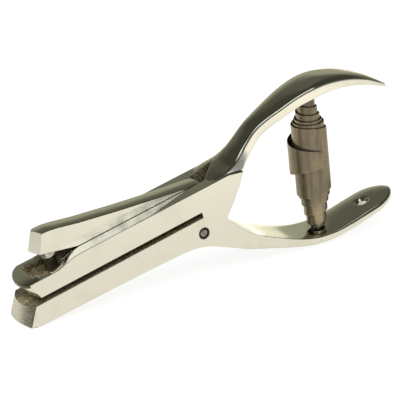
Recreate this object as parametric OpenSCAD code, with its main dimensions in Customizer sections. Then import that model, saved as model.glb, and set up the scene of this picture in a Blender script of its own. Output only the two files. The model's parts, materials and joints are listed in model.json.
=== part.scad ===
// Plier ticket punch: a slotted frame with one handle, a lever threaded through it with the
// other, a round punch and die at the nose, and a double volute spring between the handles.
// Lengths are in millimetres. The shapes are drawn in the jaws' own plane, with x along the
// throat towards the handles, z square to it, and the pivot's axis at the origin. stand() then
// pitches the punch up until it rests on its nose and lower handle.

/* [Jaws] */
// Width of the jaws and cheeks
body_w = 15.4; // [14:0.1:17]
// Distance from the pivot to the mouth's lower lip
reach = 63.7; // [60:0.1:68]
// Height of the throat's floor above the pivot
throat_z = 5.2; // [4.9:0.1:5.6]
// Height of the throat that takes the ticket
throat_h = 2.0; // [1.6:0.1:2.2]
// Distance that the throat's end lies behind the pivot
throat_end = 1.3; // [0.8:0.1:1.6]
// Thickness of the upper jaw under the arm
bridge_t = 2.2; // [1.8:0.1:2.4]
// Height of the channel walls above the pivot
wall_z = 14.8; // [14.2:0.1:15.4]
// Height of the nose's top above the pivot
nose_z = 12.9; // [12.4:0.1:13.4]
// Depth of the lower jaw's nose below the pivot
keel_z = 2.0; // [1.4:0.1:2.6]
// Radius of the lower nose seen from above
nose_r = 13; // [12:0.5:16]
// Lean of the lower nose's face away from the throat, in degrees
nose_lean = 27; // [20:1:30]
// Distance that the upper nose's rim lies behind the lower lip
lip_step = 0.6; // [0.2:0.1:1.2]
// Height of the upper nose's upright rim
rim_h = 1; // [0.6:0.1:1.4]

/* [Pocket] */
// Length of the pocket that the arm's nose sinks into
pocket_l = 9.6; // [9:0.1:10]
// Width of the pocket
pocket_w = 9.4; // [8.4:0.1:10]
// Thickness of the upper jaw under the pocket
pocket_floor = 3.4; // [2.8:0.1:3.8]

/* [Pivot] */
// Radius of the pivot pin
pivot_r = 2.05; // [1.8:0.05:2.2]
// Running clearance of a pin in its hole
run_gap = 0.03; // [0.02:0.01:0.06]
// Radius of the cheeks' round shoulder
knuckle_r = 9.8; // [9.4:0.1:10.2]
// Gap between the cheeks' shoulder and the lever
knuckle_gap = 0.06; // [0.05:0.01:0.15]
// Angle of the crotch above the throat's line, in degrees
crotch_a = 8; // [7.5:0.5:9]

/* [Lever] */
// Width of the lever's arm and web
arm_w = 6.2; // [6:0.1:7]
// Gap on each side of the arm in its channel
arm_gap = 0.25; // [0.15:0.05:0.4]
// Radius of the lever's boss round the pivot
boss_r = 4.7; // [4.2:0.1:4.8]
// Distance that the arm's nose reaches past the punch's axis
nose_over = 4.5; // [4:0.1:5]
// Slant of the arm's nose seen from above, in degrees
nose_skew = 20; // [0:1:24]
// Closing travel of the handles, in degrees
travel = 6.5; // [5:0.5:6.5]

/* [Punch] */
// Radius of the punch
punch_r = 2.2; // [2:0.1:2.7]
// Distance from the pivot to the punch's axis
punch_x = 49.7; // [49.4:0.1:50.2]
// Gap between the punch and its die
die_gap = 0.05; // [0.03:0.01:0.1]
// Outside radius of the die
die_r = 3.8; // [3.6:0.1:4.6]
// Height of the die
die_h = 4; // [3:0.1:4.6]
// Radius of the cross pin in the arm's nose
cross_r = 0.7; // [0.5:0.05:0.8]
// Thickness of the punch's tongue
tongue_t = 2; // [1.6:0.1:2.2]

/* [Spring] */
// Outside radius of the spring at its waist
spring_r = 6.66; // [6.6:0.02:7]
// Outside radius of the spring at its two ends
spring_end_r = 2.7; // [2.6:0.02:2.74]
// Thickness of the spring's strip
strip_t = 0.22; // [0.18:0.01:0.23]
// Turns of the spring from its ends to its point
spring_turns = 6.25; // [5.25:0.5:6.25]
// Radius of the two pegs that hold the spring
peg_r = 2; // [1.7:0.1:2.1]
// Height of the pegs
peg_h = 5; // [3:0.5:7]

/* [Lanyard hole] */
// Radius of the hole near the lower handle's tip
lanyard_r = 1.6; // [1.2:0.1:2]
// Radius of its countersink
lanyard_sink_r = 3; // [2.6:0.1:3.4]

/* [Hidden] */
$fn = 48;

// Colours of the finishes
nickel = [0.80, 0.78, 0.72];
dark_steel = [0.27, 0.26, 0.24];
spring_steel = [0.60, 0.53, 0.44];

far = 100;            // longer than any cut needs to be
cut = 0.01;           // overlap of a cut with the face that it opens
half_w = body_w / 2;
slot_w = arm_w + 2 * arm_gap;
throat_top = throat_z + throat_h;
floor_z = throat_top + bridge_t;
pocket_z = throat_top + pocket_floor;
arm_reach = punch_x + nose_over;

// A smooth curve through points, with n steps between neighbours
function bend(a, b, c, d, t) =
    0.5 * (2 * b + (c - a) * t + (2 * a - 5 * b + 4 * c - d) * t * t
           + (3 * b - a - 3 * c + d) * t * t * t);
function smooth(p, n) = [
    for (i = [0 : len(p) - 2], k = [0 : n - 1])
        bend(p[max(i - 1, 0)], p[i], p[i + 1], p[min(i + 2, len(p) - 1)], k / n),
    p[len(p) - 1]];
function polar(r, a) = [r * cos(a), r * sin(a)];
function arc(r, a, b, n) = [for (k = [0 : n]) polar(r, a + (b - a) * k / n)];

// Stations of a handle: x and z of its inner face's edge, half width, height of the side,
// crown of the outer face and crown of the inner face
upper_handle = [
    [7, 6.5, half_w - 0.1, 7.6, 0.6, 0.1],
    [13, 9.6, half_w - 0.4, 5.6, 1.0, 0.2],
    [18.6, 12.2, half_w - 1.6, 3.8, 1.6, 0.4],
    [22.8, 15.1, 4.9, 2.6, 2.1, 0.8],
    [26.2, 17.9, 4.3, 2.0, 2.1, 1.0],
    [30, 20.4, 4.2, 1.8, 2.2, 1.0],
    [34.4, 21.9, 4.6, 1.9, 2.2, 0.8],
    [39.6, 23.1, 5.4, 2.1, 2.2, 0.6],
    [45.7, 24.3, 6.1, 2.4, 2.2, 0.4],
    [52.2, 24.7, 6.7, 2.6, 2.4, 0.3],
    [57.9, 24.4, 6.7, 2.4, 2.4, 0.3],
    [65, 22.7, 6.0, 1.9, 2.2, 0.3],
    [72, 19.7, 4.9, 1.4, 1.7, 0.3],
    [77.5, 16.4, 3.4, 0.9, 1.1, 0.2],
    [81, 14.0, 1.9, 0.6, 0.6, 0.1],
    [82.4, 13.0, 0.7, 0.4, 0.3, 0.1]];
lower_handle = [
    [7.4, 4, half_w - 0.05, 9.6, 0.3, 0.1],
    [10.1, -0.4, half_w - 0.05, 8.6, 0.5, 0.1],
    [13.3, -5.1, half_w - 0.05, 6.4, 0.9, 0.1],
    [18, -10, half_w - 0.05, 4.4, 1.6, 0.1],
    [24.7, -14.7, half_w - 0.05, 2.6, 2.2, 0.1],
    [32, -19.2, half_w - 0.05, 1.4, 2.6, 0.2],
    [39, -22.5, half_w - 0.05, 0.8, 2.8, 0.5],
    [46.5, -24.2, half_w - 0.05, 0.6, 2.8, 0.9],
    [54, -24.4, half_w - 0.05, 0.6, 2.5, 1.1],
    [60.5, -24.1, half_w - 0.05, 0.6, 2.3, 1.3],
    [65.5, -23.8, half_w - 0.2, 0.6, 2.0, 1.3],
    [68.8, -23.5, 6.7, 0.6, 1.8, 1.2],
    [71.4, -23.3, 5.3, 0.6, 1.5, 1.0],
    [73.2, -23.1, 3.6, 0.5, 1.2, 0.7],
    [74.4, -23, 1.8, 0.4, 0.8, 0.4],
    [74.8, -22.95, 0.6, 0.3, 0.4, 0.2]];

// A handle is a loft of D-shaped rings along its stations. side is 1 where the outer face is
// on the left of the path, and -1 where it is on the right
ring_n = 24;
function ring_point(s, k) =
    let (a = 360 * k / ring_n, e = 0.8,
         u = sign(cos(a)) * pow(abs(cos(a)), e), v = pow(abs(sin(a)), e))
    [s[2] * u, sin(a) >= 0 ? s[3] + s[4] * v : -s[5] * v];
function heading(s, i) =
    let (a = s[max(i - 1, 0)], b = s[min(i + 1, len(s) - 1)])
    atan2(b[1] - a[1], b[0] - a[0]);
function ring(s, i, side) =
    let (a = heading(s, i) + side * 90)
    [for (k = [0 : ring_n - 1]) let (q = ring_point(s[i], k))
        [s[i][0] + q[1] * cos(a), q[0], s[i][1] + q[1] * sin(a)]];
module handle(stations, side) {
    s = smooth(stations, 2);
    n = len(s);
    points = [for (i = [0 : n - 1]) each ring(s, i, side)];
    skin = [for (i = [0 : n - 2], k = [0 : ring_n - 1])
        let (a = i * ring_n + k, b = i * ring_n + (k + 1) % ring_n, c = b + ring_n)
        each (side > 0 ? [[a, c, b], [a, a + ring_n, c]] : [[a, b, c], [a, c, a + ring_n]])];
    first = [for (k = [0 : ring_n - 1]) side > 0 ? k : ring_n - 1 - k];
    last = [for (k = [0 : ring_n - 1]) (n - 1) * ring_n + (side > 0 ? ring_n - 1 - k : k)];
    polyhedron(points, concat(skin, [first, last]), convexity = 6);
}

// Draws a flat outline in the x-z plane, w wide and centred on the plane of symmetry
module slab(w) {
    rotate([90, 0, 0])
        translate([0, 0, -w / 2])
            linear_extrude(w)
                children();
}

// A round bar square to the jaws' plane, through a point given as x and z
module across(p, r, w) {
    translate([p[0], w / 2, p[1]])
        rotate([90, 0, 0])
            cylinder(r = r, h = w);
}

// Underside of the jaws, from the nose's tip to the cheeks' shoulder
shoulder_a = -57;
tip_z = -0.2;
nose_tip = reach + (throat_z - tip_z) * tan(nose_lean);
function jaw_under() = smooth([
    [-nose_tip, tip_z], [-nose_tip + 2.4, -keel_z + 0.8], [-nose_tip + 6, -keel_z + 0.1],
    [-40, -keel_z - 0.2], [-20, -keel_z - 0.7],
    [-8, -keel_z - 1.3], [-3, -4.1], [1.2, -5.7], polar(knuckle_r, shoulder_a)], 4);

// Side view of the frame without its handle
module frame_side() {
    scoop = smooth([[-42, wall_z], [-44.5, wall_z - 0.2], [-47.6, (wall_z + nose_z) / 2],
                    [-50.4, nose_z + 0.15], [-53, nose_z]], 4);
    polygon(concat(
        jaw_under(),
        arc(knuckle_r, shoulder_a + 5, crotch_a, 12),
        [[12.6, 4.4], [16.75, 9.3], [19.4, 13.4], [14, wall_z]],
        scoop,
        [[-nose_tip - 8, nose_z], [-nose_tip - 8, tip_z + 3]]));
}

// The upper nose seen from above, from its near side round to its far side, which is ground
// away. Each row: place across the jaw, distance of the rim behind its foremost point, and
// distance of the edge at the throat behind that same point
nose_rows = smooth([
    [-8.1, 2.9, 4.9], [-7.6, 2.1, 4.5], [-6, 0.8, 3.8], [-4, 0.3, 3.3], [-1.4, 0, 3],
    [1.1, 0.3, 3], [3.4, 1.2, 3.6], [5.4, 2.4, 4.6], [7, 4, 6], [8.1, 6, 7.6]], 3);
function nose_ring(k, z) = concat(
    [for (q = nose_rows) [-reach + lip_step + q[k], q[0], z]],
    [for (i = [len(nose_rows) - 1, 0]) [-reach + nose_r + 2, nose_rows[i][0], z]]);
module upper_nose() {
    n = len(nose_rows) + 2;
    rings = [nose_ring(2, throat_z + cut), nose_ring(2, throat_top - 0.2),
             nose_ring(1, nose_z - rim_h), nose_ring(1, nose_z + 2)];
    skin = [for (i = [0 : len(rings) - 2], k = [0 : n - 1])
        let (a = i * n + k, b = i * n + (k + 1) % n)
        each [[a, b, b + n], [a, b + n, a + n]]];
    floor_face = [for (k = [0 : n - 1]) n - 1 - k];
    top_face = [for (k = [0 : n - 1]) (len(rings) - 1) * n + k];
    polyhedron([for (ring = rings) each ring], concat(skin, [floor_face, top_face]));
}

// The lower nose is a round cone that widens downwards
module lower_nose() {
    drop = 12;
    translate([-reach + nose_r, 0, throat_z - drop])
        cylinder(r1 = nose_r + drop * tan(nose_lean), r2 = nose_r, h = drop, $fn = 96);
}

// Both jaws' solid, with the noses rounded and leaning away from the mouth
module jaws() {
    intersection() {
        slab(body_w)
            frame_side();
        union() {
            translate([-reach + nose_r, -body_w, -far / 2])
                cube([2 * far, 2 * body_w, far]);
            lower_nose();
            upper_nose();
        }
    }
}

// The opening behind the throat that the lever's web passes through
module mortise_side() {
    circle(r = boss_r + 0.4);
    polygon([[throat_end - 0.8, far], [throat_end - 0.8, 0], [9.1, 1.4], [9.1, 3.2],
             [15, wall_z + 0.4], [15, far]]);
    polygon([[-boss_r - 0.4, 0], [-boss_r - 0.4, -2 * knuckle_r], [2 * knuckle_r, -2 * knuckle_r],
             polar(2 * knuckle_r, crotch_a), polar(9.2, crotch_a + 1), [0, 2]]);
}

module throat() {
    translate([-far, -body_w, throat_z])
        cube([far + throat_end, 2 * body_w, throat_h]);
}

module channel() {
    translate([-punch_x, -slot_w / 2, floor_z])
        cube([punch_x + throat_end, slot_w, far]);
}

module pocket() {
    translate([-punch_x - pocket_l / 2 - 2.6, -pocket_w / 2, pocket_z])
        cube([pocket_l, pocket_w, far]);
}

// Bore along the punch's axis, from a height down to another
module punch_bore(r, low, high) {
    translate([-punch_x, 0, low])
        cylinder(r = r, h = high - low);
}

module frame() {
    color(nickel)
        difference() {
            union() {
                jaws();
                handle(upper_handle, 1);
            }
            slab(slot_w)
                mortise_side();
            throat();
            channel();
            pocket();
            punch_bore(punch_r + run_gap, throat_z, pocket_z + cut);
            punch_bore(die_r, throat_z - die_h, throat_z + cut);
            punch_bore(punch_r + 0.6, -far, throat_z);
            across([0, 0], pivot_r, 2 * body_w);
            spring_peg_hole(1);
        }
}

// Side view of the lever's arm, its web behind the throat and its boss
arm_back = 5.4;
module arm_side() {
    nose = -arm_reach;
    polygon([[nose - 3, 19.2], [nose + 14.1, 14.7], [nose + 19.6, 13.6],
             [throat_end + 1.2, 9.6], [throat_end + 1.2, 3], [0, 0], [8.6, 0.2],
             [arm_back + 0.4, 6], [arm_back, 14.6], [arm_back - 0.6, 14.9], [0, 15.5],
             [-9.3, 16.9], [-23.6, 19.5], [nose + 16.2, 22.4], [nose + 9.4, 24.1],
             [nose + 6, 24.7], [nose - 3, 24.9]]);
    circle(r = boss_r);
}

// Side view of the web's foot, which joins the boss to the lower handle between the cheeks
module foot_side() {
    polygon(concat([[0, 0], [-3.4, -2.6]],
                   [for (p = jaw_under()) if (p[0] > -3.4) p],
                   [polar(knuckle_r + 2, shoulder_a + 6), polar(knuckle_r + 2, -20),
                    polar(knuckle_r + knuckle_gap, crotch_a - travel - 1.3)]));
}

// The arm's nose is ground at a slant, so that it is longer on its far side, and its far
// corner is ground away
module nose_plane(p, skew) {
    translate(p)
        rotate([0, 0, skew])
            rotate([0, 21, 0])
                translate([-far, -far / 2, -far / 2])
                    cube(far);
}
module nose_slant() {
    nose_plane([-arm_reach, 0, 18.4], nose_skew);
    nose_plane([-arm_reach - 0.7, 2.3, 18.4], nose_skew - 62);
}

module lever() {
    color(nickel)
        difference() {
            union() {
                slab(arm_w) {
                    arm_side();
                    foot_side();
                }
                difference() {
                    handle(lower_handle, -1);
                    across([0, 0], knuckle_r + knuckle_gap, 2 * body_w);
                    translate([-far, -body_w, polar(knuckle_r, crotch_a - travel - 1.3)[1]])
                        cube([2 * far, 2 * body_w, far]);
                }
            }
            across([0, 0], pivot_r + run_gap, 2 * body_w);
            nose_slant();
            tongue_slot();
            across(cross_at, cross_r, 2 * body_w);
            spring_peg_hole(-1);
            lanyard_hole();
        }
}

// The pivot pin, with a staked ring and a low dome at each end
module pivot_pin() {
    dome_r = 0.62 * pivot_r;
    ring_d = 0.35;
    color(dark_steel)
        rotate([90, 0, 0])
            rotate_extrude()
                polygon(concat(
                    [for (a = [90 : -15 : 0]) [dome_r * cos(a), -half_w + 0.25 - 0.24 * sin(a)]],
                    [[dome_r, -half_w + ring_d], [pivot_r - 0.15, -half_w + ring_d],
                     [pivot_r, -half_w + 0.1], [pivot_r, half_w - 0.1],
                     [pivot_r - 0.15, half_w - ring_d], [dome_r, half_w - ring_d]],
                    [for (a = [0 : 15 : 90]) [dome_r * cos(a), half_w - 0.25 + 0.24 * sin(a)]]));
}

// The punch hangs on a cross pin in the arm's nose. The slot in its tongue is open in front,
// so that the pin can slide along while the arm swings
cross_at = [-punch_x + 0.8, 19.8];
cross_play = 0.85;
punch_rest = throat_top + 0.3;
tongue_front = -punch_x - 1.3;
tongue_back = -punch_x + punch_r;
tongue_top = cross_at[1] + cross_r + 0.7;
tongue_gap = 0.2;
module tongue_slot() {
    translate([tongue_front - 0.4, -tongue_t / 2 - tongue_gap, 0])
        cube([tongue_back - tongue_front + 2.8, tongue_t + 2 * tongue_gap, tongue_top + 0.6]);
}
module punch() {
    shank_top = 15.4;
    slip = 0.08;
    color(dark_steel)
        difference() {
            union() {
                punch_bore(punch_r, punch_rest, shank_top);
                intersection() {
                    punch_bore(punch_r, punch_rest, tongue_top);
                    translate([tongue_front, -tongue_t / 2, 0])
                        cube([tongue_back - tongue_front, tongue_t, far]);
                }
            }
            across([-punch_x + cross_play, cross_at[1]], cross_r + slip, body_w);
            translate([-punch_x + cross_play - far, -half_w, cross_at[1] - cross_r - slip])
                cube([far, body_w, 2 * (cross_r + slip)]);
        }
}

module cross_pin() {
    color(nickel)
        across(cross_at, cross_r, arm_w);
}

module die() {
    color(dark_steel)
        difference() {
            punch_bore(die_r, throat_z - die_h, throat_z);
            punch_bore(punch_r + die_gap, throat_z - die_h - cut, throat_z + cut);
        }
}

// The spring stands between these two points on the handles
spring_foot = [44.1, -23.15];
spring_head = [52.3, 24.7];
spring_axis = spring_head - spring_foot;
spring_len = norm(spring_axis);
spring_lean = atan2(spring_axis[0], spring_axis[1]);

// Places something along the spring's axis, at a height above its foot
module on_spring(h) {
    translate([spring_foot[0], 0, spring_foot[1]])
        rotate([0, spring_lean, 0])
            translate([0, 0, h])
                children();
}

// Hole for a peg: side is 1 in the upper handle and -1 in the lower
peg_root = 1.6;
module spring_peg_hole(side) {
    clear = 4;
    on_spring(side > 0 ? spring_len - clear : -peg_root)
        cylinder(r = peg_r, h = peg_root + clear);
}
module peg() {
    translate([0, 0, -peg_root])
        cylinder(r = peg_r, h = peg_root + peg_h - 0.6);
    translate([0, 0, peg_h - 0.6])
        cylinder(r1 = peg_r, r2 = peg_r - 0.6, h = 0.6);
}
module lower_spring_peg() {
    color(dark_steel)
        on_spring(0)
            peg();
}
module upper_spring_peg() {
    color(dark_steel)
        on_spring(spring_len)
            rotate([180, 0, 0])
                peg();
}

// The spring is one strip, wound outwards from both ends at once. Its blank is a long V: two
// legs that part at the spring's ends and run together into a point at its waist
wind_n = 24;
foot_gap = 0.3;
head_gap = 0.3;
wind_pitch = (spring_r - spring_end_r) / spring_turns;
slit_turns = 3;       // the turns over which the two legs stay apart
slit_share = 0.59;    // half height of the slit at the spring's ends, as a share
point_a = -58;        // direction of the strip's point, seen from above
loose_r = 1.05;       // how far the last turn stands off on one side
// Heights of the strip's two edges and of its middle, as shares of the spring's half length,
// against the turns still to go to the strip's point
top_share = [[0, 0.08], [0.04, 0.17], [0.1, 0.215], [0.18, 0.245], [0.43, 0.319], [0.7, 0.44],
             [1.18, 0.565], [2.18, 0.6], [3.18, 0.64], [4.18, 0.727], [5.18, 0.84], [6.25, 0.985]];
low_share = [[0, 0.06], [0.04, -0.01], [0.1, -0.04], [0.18, -0.045], [0.43, -0.175],
             [0.7, -0.32], [1.18, -0.48], [2.18, -0.513], [3.18, -0.59], [4.18, -0.706],
             [5.18, -0.84], [6.25, -0.985]];
mid_share = [[0, 0.07], [0.18, 0.1], [0.43, 0.07], [1.18, 0.03], [3.18, 0], [6.25, 0]];
function to_go(t) = 6.25 * (1 - t / spring_turns);
function wind_r(t) =
    let (loose = (to_go(t) - 0.12) / 0.7)
    spring_end_r + wind_pitch * t + loose_r * sin(180 * min(1, max(0, loose)));
function wind_a(t) = 360 * (t - spring_turns) + point_a;
function mid_z(t) = spring_len / 2 * lookup(to_go(t), mid_share);
function edge_z(t, side, gap) =
    (spring_len / 2 - gap) * lookup(to_go(t), side > 0 ? top_share : low_share);
function slit_z(t) = spring_len / 2 * slit_share * max(0, 1 - t / slit_turns);
function strip_point(t, r, z) = [r * cos(wind_a(t)), r * sin(wind_a(t)), z];
module leg(side) {
    steps = round(spring_turns * wind_n);
    gap = side > 0 ? head_gap : foot_gap;
    rows = [for (i = [0 : steps])
        let (t = spring_turns * i / steps, r = wind_r(t), low = mid_z(t) + side * slit_z(t),
             high = edge_z(t, side, gap))
        [strip_point(t, r, low), strip_point(t, r, high),
         strip_point(t, r - strip_t, high), strip_point(t, r - strip_t, low)]];
    points = [for (row = rows) each row];
    skin = [for (i = [0 : steps - 1], k = [0 : 3])
        let (a = 4 * i + k, b = 4 * i + (k + 1) % 4)
        each (side > 0 ? [[a, b, b + 4], [a, b + 4, a + 4]] : [[a, b + 4, b], [a, a + 4, b + 4]])];
    first = side > 0 ? [[3, 2, 1], [3, 1, 0]] : [[1, 2, 3], [0, 1, 3]];
    m = 4 * steps;
    last = side > 0 ? [[m, m + 1, m + 2], [m, m + 2, m + 3]] : [[m + 2, m + 1, m], [m + 3, m + 2, m]];
    polyhedron(points, concat(skin, first, last), convexity = 10);
}
module spring() {
    color(spring_steel)
        on_spring(spring_len / 2) {
            leg(1);
            leg(-1);
        }
}

// Least gap of the strip to itself, measured on points a turn apart
turn_gaps = [for (i = [0 : wind_n * (spring_turns - 1)])
    let (t = i / wind_n)
    norm(strip_point(t + 1, wind_r(t + 1) - strip_t, 0) - strip_point(t, wind_r(t), 0))];
echo(spring_least_gap = min(turn_gaps));

// The lanyard hole, square to the lower handle's inner face
lanyard_at = [63.3, -22.7];
lanyard_lean = -4;
module lanyard_hole() {
    translate([lanyard_at[0], 0, lanyard_at[1]])
        rotate([0, lanyard_lean, 0]) {
            translate([0, 0, -far / 2])
                cylinder(r = lanyard_r, h = far);
            translate([0, 0, -0.9])
                cylinder(r1 = lanyard_r, r2 = lanyard_sink_r + 0.9, h = 1.8);
        }
}

// The punch stands on its nose and on its lower handle. The pitch is that of the line that
// touches both, and the origin is on the ground under the middle of the whole
handle_low = [for (i = [0 : 2 * (len(lower_handle) - 1)])
    let (q = ring(smooth(lower_handle, 2), i, -1)[ring_n / 4])
    [q[0], q[2]]];
nose_low = [for (p = jaw_under()) if (p[0] < -40) p];
pitch = min([for (n = nose_low) max([for (h = handle_low) atan2(n[1] - h[1], h[0] - n[0])])]);
ground = min([for (n = nose_low) sin(pitch) * n[0] + cos(pitch) * n[1]]);
left = -nose_tip * cos(pitch) - tip_z * sin(pitch);
right = max([for (s = [smooth(upper_handle, 2), smooth(lower_handle, 2)])
    for (i = [len(s) - 5 : len(s) - 1]) for (q = ring(s, i, s[0] == upper_handle[0] ? 1 : -1))
        q[0] * cos(pitch) - q[2] * sin(pitch)]);
module stand() {
    translate([-(left + right) / 2, 0, -ground])
        rotate([0, -pitch, 0])
            children();
}
echo(pitch = pitch, ground = ground, shift = -(left + right) / 2);

stand() frame();
stand() lever();
stand() pivot_pin();
stand() punch();
stand() cross_pin();
stand() die();
stand() spring();
stand() upper_spring_peg();
stand() lower_spring_peg();
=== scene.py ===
"""Looks of the plier ticket punch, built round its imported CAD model.

The file is laid out as an add-on and run as a script. Each operator makes one piece or one
group of like pieces. Lengths in the tables are millimetres in the jaws' own plane: x runs
along the throat towards the handles, z stands square to it, and the pivot is the origin.
"""

import json
import math

import bmesh
import bpy
import numpy as np
from mathutils import Matrix, Vector


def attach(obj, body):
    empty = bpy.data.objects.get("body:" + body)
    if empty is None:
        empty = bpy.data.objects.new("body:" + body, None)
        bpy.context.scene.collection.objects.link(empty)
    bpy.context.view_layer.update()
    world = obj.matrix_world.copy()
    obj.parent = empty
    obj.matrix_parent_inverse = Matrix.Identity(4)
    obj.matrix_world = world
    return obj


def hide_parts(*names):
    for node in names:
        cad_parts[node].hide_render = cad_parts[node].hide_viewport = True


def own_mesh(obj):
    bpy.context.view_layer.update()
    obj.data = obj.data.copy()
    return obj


bl_info = {
    "name": "Ticket Punch",
    "version": (1, 0, 0),
    "blender": (4, 5, 0),
    "location": "3D View > Sidebar > Ticket Punch",
    "description": "Builds the forgings, pins, spring and stage of a plier ticket punch",
    "category": "Add Mesh",
}

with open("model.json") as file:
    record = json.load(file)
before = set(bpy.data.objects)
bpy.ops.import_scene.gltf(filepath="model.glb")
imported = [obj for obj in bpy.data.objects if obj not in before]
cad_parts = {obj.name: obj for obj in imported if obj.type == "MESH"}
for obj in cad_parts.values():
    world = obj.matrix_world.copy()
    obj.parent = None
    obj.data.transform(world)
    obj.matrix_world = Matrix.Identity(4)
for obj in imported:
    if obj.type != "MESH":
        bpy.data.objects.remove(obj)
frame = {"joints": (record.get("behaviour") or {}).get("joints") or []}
JOINTS = {joint["name"]: joint for joint in frame["joints"]}
MATERIALS = {}

MM = 0.001

# Heights in the jaws' plane: the throat, the channel's and the pocket's floors, the tops of the
# walls and of the nose, and the lowest points of the nose and of the jaw
THROAT_Z = 5.2
THROAT_TOP = 7.2
FLOOR_Z = 9.4
POCKET_Z = 10.6
WALL_Z = 14.8
NOSE_Z = 12.9
TIP_Z = -0.2
KEEL_Z = -2.0
# Places along the jaws: the throat's end, the upper nose's tip, the punch, and the arm's tip
THROAT_END = 1.3
REACH = 63.7
PUNCH_X = 49.7
ARM_REACH = 54.2
# The lower nose leans outwards below the throat, by so many degrees
NOSE_R = 13
NOSE_LEAN = 27
NOSE_TIP = REACH + (THROAT_Z - TIP_Z) * math.tan(math.radians(NOSE_LEAN))
# The knuckle round the pivot, where the lever meets the frame: from the shoulder below to the
# crotch between the handles, and the top of the lever's foot
KNUCKLE_R = 9.8
SHOULDER_A = -57
CROTCH_A = 8
FOOT_A = 0.2
BOSS_R = 4.7
# The pocket's ends and half width, and the wall at the end of the pit behind the arm
POCKET_FRONT, POCKET_BACK, POCKET_HALF = -57.1, -47.5, 4.7
PIT_FOOT, PIT_HEAD = (9.1, 3.2), (15, WALL_Z + 0.4)
DIE_R = 3.8
DIE_DEPTH = 4
CROSS_PIN_AT = (-48.9, 19.8)
# Beyond every side, above everything and beyond both ends, for cutters
WIDE, HIGH, FAR = 20, 60, 100

# Stations of a handle: x and z of its inner face's edge, half width, height of the side,
# crown of the outer face and crown of the inner face
UPPER_HANDLE = [
    (7, 6.5, 7.6, 7.6, 0.6, 0.1),
    (13, 9.6, 7.3, 5.6, 1.0, 0.2),
    (18.6, 12.2, 6.1, 3.8, 1.6, 0.4),
    (22.8, 15.1, 4.9, 2.6, 2.1, 0.8),
    (26.2, 17.9, 4.3, 2.0, 2.1, 1.0),
    (30, 20.4, 4.2, 1.8, 2.2, 1.0),
    (34.4, 21.9, 4.6, 1.9, 2.2, 0.8),
    (39.6, 23.1, 5.4, 2.1, 2.2, 0.6),
    (45.7, 24.3, 6.1, 2.4, 2.2, 0.4),
    (52.2, 24.7, 6.7, 2.6, 2.4, 0.3),
    (57.9, 24.4, 6.7, 2.4, 2.4, 0.3),
    (65, 22.7, 6.0, 1.9, 2.2, 0.3),
    (72, 19.7, 4.9, 1.4, 1.7, 0.3),
    (77.5, 16.4, 3.4, 0.9, 1.1, 0.2),
    (81, 14.0, 1.9, 0.6, 0.6, 0.1),
    (82.4, 13.0, 0.7, 0.4, 0.3, 0.1),
]
LOWER_HANDLE = [
    (7.4, 4, 7.7, 9.6, 0.3, 0.1),
    (10.1, -0.4, 7.7, 10.0, 0.3, 0.1),
    (13.3, -5.1, 7.7, 7.0, 0.6, 0.1),
    (18, -10, 7.7, 4.4, 1.6, 0.1),
    (24.7, -14.7, 7.7, 2.6, 2.2, 0.1),
    (32, -19.2, 7.7, 1.4, 2.6, 0.2),
    (39, -22.5, 7.7, 0.8, 2.8, 0.5),
    (46.5, -24.2, 7.67, 0.6, 2.8, 0.9),
    (54, -24.4, 7.66, 0.6, 2.5, 1.1),
    (60.5, -24.1, 7.64, 0.6, 2.3, 1.3),
    (65.5, -23.8, 7.5, 0.6, 2.0, 1.3),
    (68.8, -23.5, 6.7, 0.6, 1.8, 1.2),
    (71.4, -23.3, 5.3, 0.6, 1.5, 1.0),
    (73.2, -23.1, 3.6, 0.5, 1.2, 0.7),
    (74.4, -23, 1.8, 0.4, 0.8, 0.4),
    (74.8, -22.95, 0.6, 0.3, 0.4, 0.2),
]
# The upper nose seen from above: place across the jaw, and how far the rim and the edge at
# the throat lie behind the rim's foremost point
NOSE_ROWS = [
    (-8.1, 2.9, 4.9), (-7.6, 2.1, 4.5), (-6, 0.8, 3.8), (-4, 0.3, 3.3), (-1.4, 0, 3),
    (1.1, 0.3, 3), (3.4, 1.2, 3.6), (5.4, 2.4, 4.6), (7, 4, 6), (8.1, 6, 7.6),
]
# The spring: its ends, its turns, the radii of its first and last turn, its strip's thickness,
# and the direction of the strip's point
SPRING_FOOT = (44.1, -23.15)
SPRING_HEAD = (52.3, 24.7)
SPRING_TURNS = 6.25
SPRING_END_R = 2.7
SPRING_OUT_R = 6.66
STRIP_T = 0.22
POINT_A = -58
# Heights of the strip's edges and middle, as shares of the spring's half length, against the
# turns still to go to that point
TOP_SHARE = [
    (0, 0.08), (0.04, 0.17), (0.1, 0.215), (0.18, 0.245), (0.43, 0.319), (0.7, 0.44),
    (1.18, 0.565), (2.18, 0.6), (3.18, 0.64), (4.18, 0.727), (5.18, 0.84), (6.25, 0.985)]
LOW_SHARE = [
    (0, 0.06), (0.04, -0.01), (0.1, -0.04), (0.18, -0.045), (0.43, -0.175), (0.7, -0.32),
    (1.18, -0.48), (2.18, -0.513), (3.18, -0.62), (4.18, -0.77), (5.18, -0.93), (5.6, -0.955),
    (6.25, -0.985)]
MID_SHARE = [(0, 0.07), (0.18, 0.1), (0.43, 0.07), (1.18, 0.03), (3.18, 0), (6.25, 0)]
# The lanyard hole with its countersink, and a spring peg: heights and radii along the axis
LANYARD_AT = (63.3, -22.7)
LANYARD_PATH = [(-9, 1.6), (-1.3, 1.6), (-0.6, 2.0), (-0.1, 2.45), (0.15, 3.0), (0.9, 4.9)]
PEG_PATH = [(-1.5, 1.98), (3.8, 1.98), (4.5, 1.8), (4.9, 1.5), (5, 1.2)]

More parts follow.
